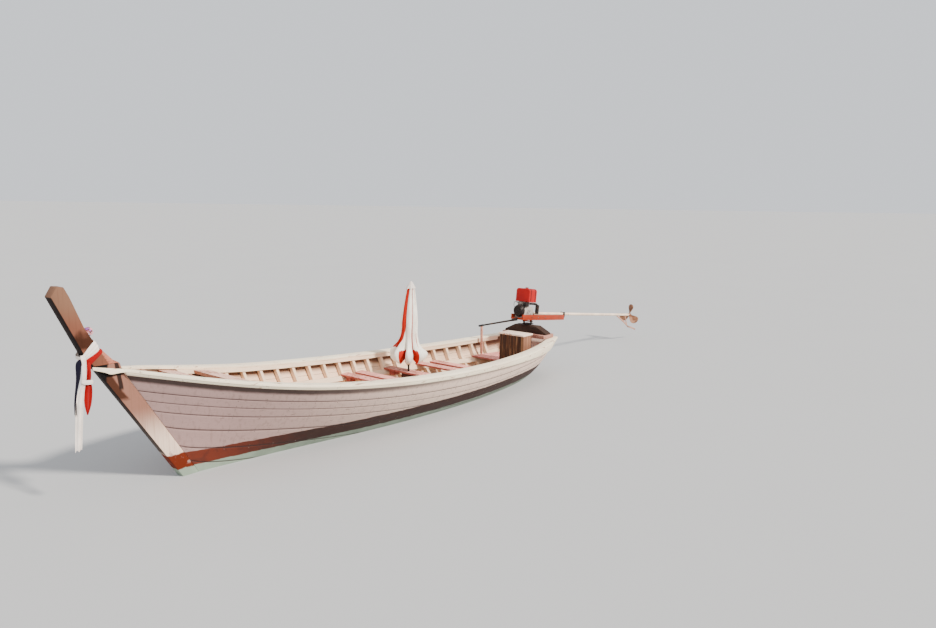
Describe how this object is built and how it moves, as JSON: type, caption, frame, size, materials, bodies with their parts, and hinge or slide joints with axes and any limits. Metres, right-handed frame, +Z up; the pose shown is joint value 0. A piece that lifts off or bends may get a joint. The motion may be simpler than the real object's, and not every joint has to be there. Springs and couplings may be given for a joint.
{
  "type": "longtail boat",
  "caption": "Planked wooden longtail boat with tall prow post, thwarts, closed parasol, and an engine with a long propeller tail on a stern swivel.",
  "frame": {"origin": "on the centreline at the water surface, amidships", "axes": "+X to the bow, +Y to port, +Z up"},
  "size_m": [12.7138, 2.096, 2.5313],
  "materials": {
    "hull_paint": "old pinkish white paint on planks, matt",
    "cream_paint": "cream paint on timber, satin",
    "bare_wood": "bare weathered timber",
    "red_wood": "dull red paint on boards",
    "dark_wood": "oil-stained dark timber",
    "pink_wood": "pale pinkish weathered boards",
    "bottom_paint": "red-brown bottom paint, matt",
    "orange_steel": "orange-red paint, faded",
    "pale_steel": "pale pinkish cream paint",
    "dark_steel": "dark grey, worn",
    "grey_alloy": "cast, dull",
    "bronze": "dull bronze",
    "tank_red": "glossy red enamel",
    "canopy_cloth": "cream and red striped canvas",
    "white_cloth": "thin white cloth",
    "red_cloth": "thin red cloth",
    "navy_cloth": "thin dark blue cloth",
    "flowers": "bunched purple and pink petals"
  },
  "bodies": {
    "hull": {"strake_1_fore_port": "hull_paint", "strake_1_fore_starboard": "hull_paint", "strake_1_aft_port": "hull_paint", "strake_1_aft_starboard": "hull_paint", "strake_2_port": "hull_paint", "strake_2_starboard": "hull_paint", "strake_3_port": "hull_paint", "strake_3_starboard": "hull_paint", "stem": "hull_paint", "transom": "hull_paint", "frames": "cream_paint", "floor_boards": "cream_paint", "wale_port": "cream_paint", "wale_starboard": "cream_paint", "gunwale_cap_port": "cream_paint", "gunwale_cap_starboard": "cream_paint", "prow_post": "bare_wood", "prow_knee": "bare_wood", "thwart_1": "red_wood", "thwart_2": "red_wood", "thwart_3": "red_wood", "thwart_4": "red_wood", "thwart_5": "red_wood", "aft_platform": "red_wood", "crate_walls": "dark_wood", "engine_beam": "dark_wood", "parasol_base": "dark_wood", "bow_plank_1": "pink_wood", "bow_plank_2": "pink_wood", "bow_plank_3": "pink_wood", "crate_lid": "pink_wood", "stern_board": "pink_wood", "side_post": "pink_wood", "bottom_planking_port": "bottom_paint", "bottom_planking_starboard": "bottom_paint", "keel": "bottom_paint", "swivel_socket": "dark_steel", "parasol_pole": "dark_steel", "parasol_canopy": "canopy_cloth", "sash_white": "white_cloth", "sash_red": "red_cloth", "sash_navy": "navy_cloth", "garland": "flowers"},
    "swivel": {"swivel_yoke": "dark_steel"},
    "engine": {"engine_frame": "orange_steel", "crankcase": "grey_alloy", "fan_housing": "dark_steel", "cylinder": "grey_alloy", "air_cleaner": "dark_steel", "fuel_tank": "tank_red", "exhaust_pipe": "dark_steel", "tail_tube": "pale_steel", "tube_clamp": "dark_steel", "skeg": "pale_steel", "tiller": "dark_steel", "tiller_grip": "dark_steel"},
    "propeller": {"propeller": "bronze"}
  },
  "joints": [
    {"name": "engine_swivel", "type": "hinge", "parent": "hull", "child": "swivel", "pos_m": [-3.52, 0, 0.88], "axis": [0, 0, 1], "range_deg": [-55, 55]},
    {"name": "engine_tilt", "type": "hinge", "parent": "swivel", "child": "engine", "pos_m": [-3.52, 0, 0.932], "axis": [0, 1, 0], "range_deg": [-14, 0]},
    {"name": "propeller_spin", "type": "hinge", "parent": "engine", "child": "propeller", "pos_m": [-7.7299, 0, 0.5839], "axis": [0.9934, 0, 0.1149], "continuous": true}
  ]
}
